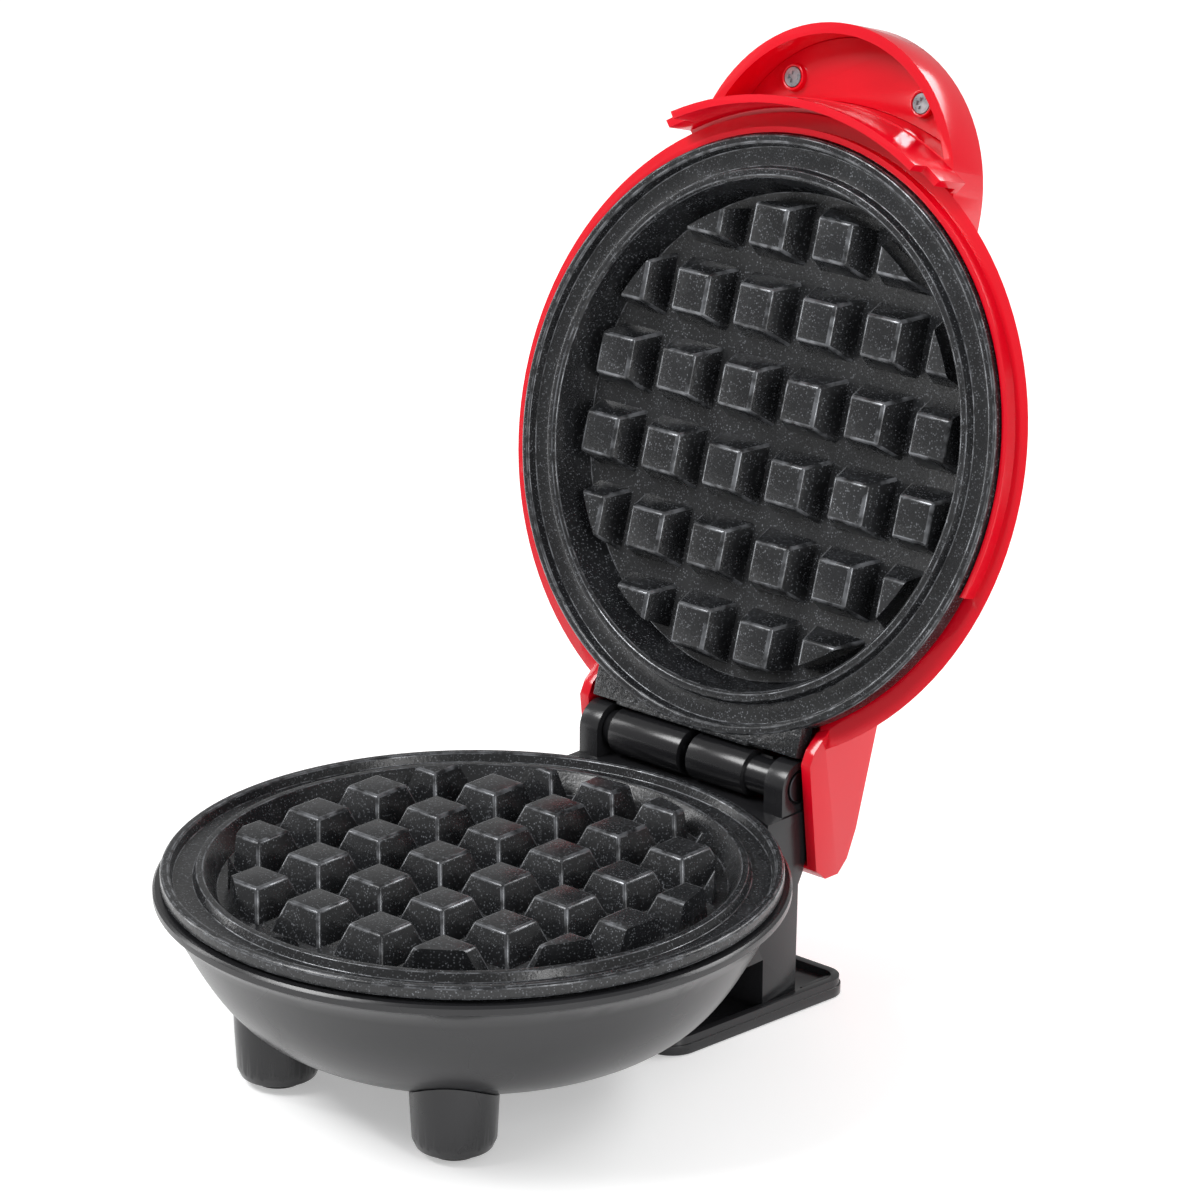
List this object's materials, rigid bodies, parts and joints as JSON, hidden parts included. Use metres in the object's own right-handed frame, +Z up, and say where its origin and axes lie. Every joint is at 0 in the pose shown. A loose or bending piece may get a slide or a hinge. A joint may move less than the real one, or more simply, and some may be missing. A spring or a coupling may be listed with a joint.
{
  "type": "waffle maker",
  "caption": "Mini round waffle maker, open: red domed lid with hood handle, black dish base on two feet and a rear stand, cast pyramid plates.",
  "frame": {"origin": "centre of the rear base plate's underside, on the surface the waffle maker stands on", "axes": "+X along the hinge to the right seen from the handle side, -Y toward the handle and the front feet, +Z up"},
  "size_m": [0.1292, 0.1808, 0.1888],
  "materials": {
    "base_black": "satin moulded black plastic",
    "cast_nonstick": "cast aluminium with a charcoal non-stick coating",
    "heater_sheath": "dull oxidised steel heater sheath",
    "bright_sheet": "bright rolled aluminium sheet",
    "zinc_steel": "zinc plated screw steel",
    "terminal_ceramic": "unglazed white ceramic",
    "earth_brass": "plain stamped brass",
    "pad_rubber": "matt grey rubber",
    "gland_rubber": "matt black rubber",
    "pin_steel": "blackened turned steel",
    "leaf_black": "glossy black glass-filled plastic",
    "thermostat_black": "moulded phenolic",
    "lid_red": "glossy saturated red plastic",
    "lamp_amber": "clear amber lens"
  },
  "bodies": {
    "base": {"bowl": "base_black", "lower_plate": "cast_nonstick", "lower_heater": "heater_sheath", "lower_reflector": "bright_sheet", "plate_screws": "zinc_steel", "terminal_block": "terminal_ceramic", "earth_lug": "earth_brass", "foot_left": "base_black", "foot_right": "base_black", "foot_pads": "pad_rubber", "foot_screws": "zinc_steel", "base_plate": "base_black", "base_pads": "pad_rubber", "wrap_core": "base_black", "core_screws": "zinc_steel", "column": "base_black", "column_screws": "zinc_steel", "cord_gland": "gland_rubber", "hinge_pin": "pin_steel"},
    "lid": {"hinge_leaf": "leaf_black", "leaf_screws": "zinc_steel", "upper_plate": "cast_nonstick", "upper_heater": "heater_sheath", "upper_reflector": "bright_sheet", "lid_studs": "zinc_steel", "thermostat": "thermostat_black", "thermal_fuse": "terminal_ceramic", "lid_shell": "lid_red", "handle_insert": "lid_red", "handle_screws": "zinc_steel", "lamp_lens": "lamp_amber"}
  },
  "joints": [
    {"name": "lid_hinge", "type": "hinge", "parent": "base", "child": "lid", "pos_m": [0, 0.0124, 0.0466], "axis": [1, 0, 0], "range_deg": [0, 106]}
  ]
}
